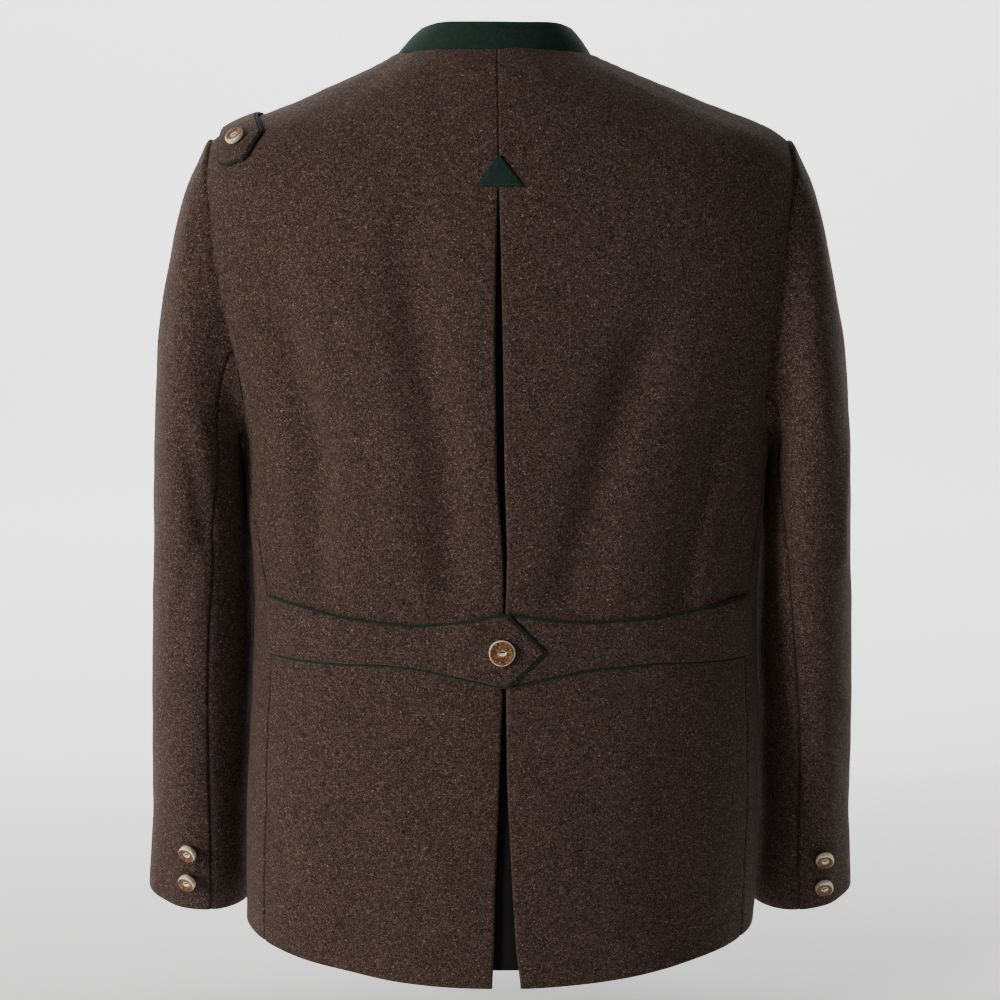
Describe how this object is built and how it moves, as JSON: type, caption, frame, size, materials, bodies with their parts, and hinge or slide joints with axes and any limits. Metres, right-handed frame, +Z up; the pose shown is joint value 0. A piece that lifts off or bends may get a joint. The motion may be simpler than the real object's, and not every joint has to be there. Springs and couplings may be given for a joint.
{
  "type": "hunting jacket",
  "caption": "Hip-length hunting jacket with a stand collar, pleated back, half belt, shoulder tab and two-piece sleeves, in its worn shape and open below, at the neck and at the cuffs.",
  "frame": {"origin": "middle of the neck opening, level with the collar seam at the centre back, where the jacket hangs", "axes": "+Z up, towards the head; -Y the way the wearer faces; +X the wearer's left; the picture is taken from +Y"},
  "size_m": [0.6094, 0.2691, 0.7557],
  "materials": {
    "brown_wool": "mottled brown fulled wool with a short soft nap",
    "dark_cloth": "plain dark brown-black cloth",
    "green_felt": "dark green felted wool",
    "staghorn": "polished staghorn face with a rough mottled rim"
  },
  "bodies": {
    "root": {"back_left": "brown_wool", "back_right": "brown_wool", "front_left": "brown_wool", "front_right": "brown_wool", "sleeve_top_left": "brown_wool", "sleeve_top_right": "brown_wool", "sleeve_under_left": "brown_wool", "sleeve_under_right": "brown_wool", "belt_left": "brown_wool", "belt_right": "brown_wool", "shoulder_strap": "brown_wool", "pleat_underlay": "dark_cloth", "collar": "green_felt", "felt_triangle": "green_felt", "belt_left_piping": "green_felt", "belt_right_piping": "green_felt", "strap_piping": "green_felt", "belt_button": "staghorn", "strap_button": "staghorn", "cuff_button_left_1": "staghorn", "cuff_button_left_2": "staghorn", "cuff_button_right_1": "staghorn", "cuff_button_right_2": "staghorn", "front_button_1": "staghorn", "front_button_2": "staghorn", "front_button_3": "staghorn", "front_button_4": "staghorn", "front_button_5": "staghorn"}
  },
  "joints": []
}
